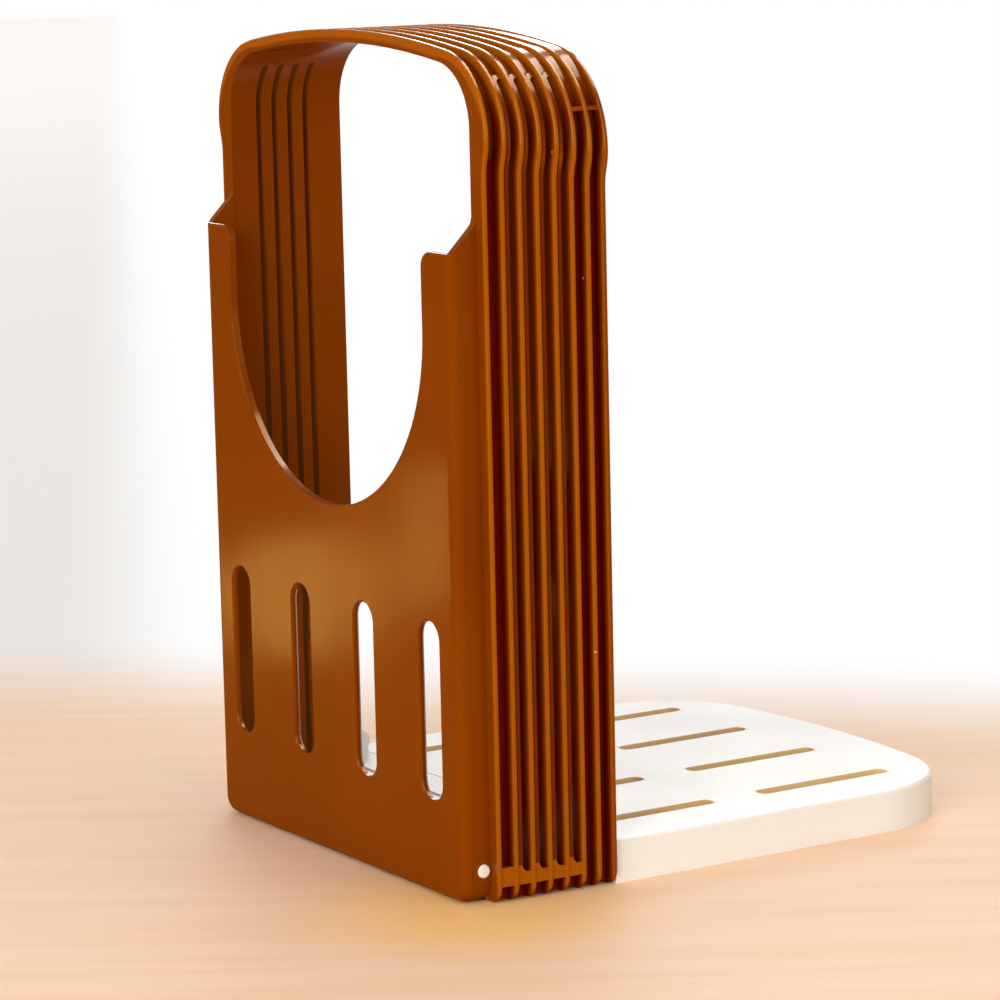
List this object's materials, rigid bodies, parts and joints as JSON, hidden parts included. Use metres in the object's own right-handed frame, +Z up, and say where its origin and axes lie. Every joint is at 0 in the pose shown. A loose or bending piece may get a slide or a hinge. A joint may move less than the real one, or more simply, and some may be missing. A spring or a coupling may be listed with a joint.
{
  "type": "bread slicer guide",
  "caption": "Upright arch with knife slots and a stop panel for slicing a loaf evenly, with a white floor inside and a white loaf rest that folds up behind it.",
  "frame": {"origin": "on the table under the middle of the box round the unfolded guide", "axes": "+Z up, +X to the right seen from the stop panel, +Y from the stop panel towards the loaf rest"},
  "size_m": [0.1362, 0.1603, 0.2109],
  "materials": {
    "brown_plastic": "high-gloss warm brown moulding",
    "white_plastic": "satin-gloss white moulding"
  },
  "bodies": {
    "guide": {"guide_frame": "brown_plastic", "floor_insert": "white_plastic", "floor_pin_left": "white_plastic", "floor_pin_right": "white_plastic", "hinge_pin_left": "white_plastic", "hinge_pin_right": "white_plastic"},
    "rest": {"loaf_rest": "white_plastic"}
  },
  "joints": [
    {"name": "rest_fold", "type": "hinge", "parent": "guide", "child": "rest", "pos_m": [0, -0.04105, 0.0147], "axis": [1, 0, 0], "range_deg": [0, 90]}
  ]
}
